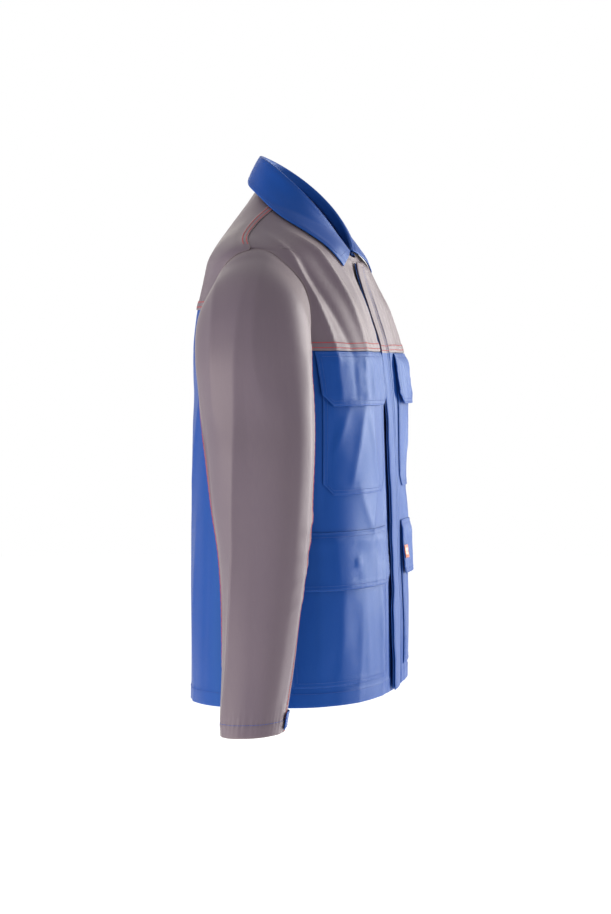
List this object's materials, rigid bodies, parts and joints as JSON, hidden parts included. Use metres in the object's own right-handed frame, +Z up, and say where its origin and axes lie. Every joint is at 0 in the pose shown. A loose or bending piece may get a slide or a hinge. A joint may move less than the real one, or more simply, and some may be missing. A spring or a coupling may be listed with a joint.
{
  "type": "welding work jacket",
  "caption": "Flame-retardant cloth welding jacket with turned-down collar, concealed stud fly, flapped pockets and contrast yoke and sleeves.",
  "frame": {"origin": "centre of the neck opening, level with the middle of the neckline", "axes": "+Z up the wearer's body, -Y out of the front, +X to the wearer's left"},
  "size_m": [0.728, 0.2909, 0.7965],
  "materials": {
    "blue_cloth": "satin",
    "grey_cloth": "satin",
    "tag_cloth": "matte",
    "stud_steel": "satin"
  },
  "bodies": {
    "jacket_body": {"back_panel": "blue_cloth", "back_yoke": "grey_cloth", "collar_stand": "blue_cloth", "collar_leaf": "blue_cloth", "right_front_panel": "blue_cloth", "right_front_yoke": "grey_cloth", "right_chest_pocket": "blue_cloth", "right_lower_pocket": "blue_cloth", "right_chest_pocket_stud": "stud_steel", "right_lower_pocket_stud": "stud_steel", "left_front_panel": "blue_cloth", "left_front_yoke": "grey_cloth", "left_chest_pocket": "blue_cloth", "left_lower_pocket": "blue_cloth", "left_chest_pocket_stud": "stud_steel", "left_lower_pocket_stud": "stud_steel", "fly_stud_1": "stud_steel", "fly_stud_2": "stud_steel", "fly_stud_3": "stud_steel", "fly_stud_4": "stud_steel", "fly_stud_5": "stud_steel", "fly_stud_6": "stud_steel", "fly_stud_7": "stud_steel"},
    "fly_lower": {"fly_lower": "blue_cloth", "fly_socket_3": "stud_steel", "fly_socket_4": "stud_steel", "fly_socket_5": "stud_steel", "fly_socket_6": "stud_steel", "fly_socket_7": "stud_steel"},
    "fly_upper": {"fly_upper": "grey_cloth", "fly_socket_1": "stud_steel", "fly_socket_2": "stud_steel"},
    "right_chest_flap": {"right_chest_flap": "blue_cloth", "right_chest_flap_socket": "stud_steel"},
    "right_lower_flap": {"right_lower_flap": "blue_cloth", "right_lower_flap_socket": "stud_steel"},
    "right_sleeve": {"right_top_sleeve": "grey_cloth", "right_under_sleeve": "grey_cloth"},
    "right_cuff_tab": {"right_cuff_tab": "blue_cloth"},
    "left_chest_flap": {"left_chest_flap": "blue_cloth", "left_chest_flap_socket": "stud_steel"},
    "left_lower_flap": {"left_lower_flap": "blue_cloth", "left_lower_flap_socket": "stud_steel", "flap_tag": "tag_cloth"},
    "left_sleeve": {"left_top_sleeve": "grey_cloth", "left_under_sleeve": "grey_cloth"},
    "left_cuff_tab": {"left_cuff_tab": "blue_cloth"}
  },
  "joints": [
    {"name": "fly_lower_turn", "type": "hinge", "parent": "jacket_body", "child": "fly_lower", "pos_m": [0.03118, -0.13817, -0.48037], "axis": [-0.0002, 0.0229, 0.9997], "range_deg": [0, 70]},
    {"name": "fly_upper_turn", "type": "hinge", "parent": "jacket_body", "child": "fly_upper", "pos_m": [0.03108, -0.10767, -0.12215], "axis": [0.0033, 0.2928, 0.9562], "range_deg": [0, 70]},
    {"name": "right_chest_flap_lift", "type": "hinge", "parent": "jacket_body", "child": "right_chest_flap", "pos_m": [-0.1395, -0.12532, -0.18961], "axis": [-0.9604, 0.2787, 0], "range_deg": [0, 100]},
    {"name": "right_lower_flap_lift", "type": "hinge", "parent": "jacket_body", "child": "right_lower_flap", "pos_m": [-0.16287, -0.12421, -0.43887], "axis": [-0.9053, 0.4248, 0], "range_deg": [0, 85]},
    {"name": "right_sleeve_raise", "type": "hinge", "parent": "jacket_body", "child": "right_sleeve", "pos_m": [-0.2398, 0.004, -0.049], "axis": [0, 1, 0], "range_deg": [0, 55]},
    {"name": "right_cuff_tab_lift", "type": "hinge", "parent": "right_sleeve", "child": "right_cuff_tab", "pos_m": [-0.26926, -0.03062, -0.68024], "axis": [0.0714, -0.121, 0.9901], "range_deg": [0, 100]},
    {"name": "left_chest_flap_lift", "type": "hinge", "parent": "jacket_body", "child": "left_chest_flap", "pos_m": [0.1395, -0.12532, -0.18961], "axis": [-0.9604, -0.2787, 0], "range_deg": [0, 100]},
    {"name": "left_lower_flap_lift", "type": "hinge", "parent": "jacket_body", "child": "left_lower_flap", "pos_m": [0.16287, -0.12421, -0.43887], "axis": [-0.9053, -0.4248, 0], "range_deg": [0, 85]},
    {"name": "left_sleeve_raise", "type": "hinge", "parent": "jacket_body", "child": "left_sleeve", "pos_m": [0.2398, 0.004, -0.049], "axis": [0, -1, 0], "range_deg": [0, 55]},
    {"name": "left_cuff_tab_lift", "type": "hinge", "parent": "left_sleeve", "child": "left_cuff_tab", "pos_m": [0.26926, -0.03062, -0.68024], "axis": [0.0714, 0.121, -0.9901], "range_deg": [0, 100]}
  ],
  "couplings": [
    {"joint": "fly_upper_turn", "follows": "fly_lower_turn", "ratio": 1}
  ]
}
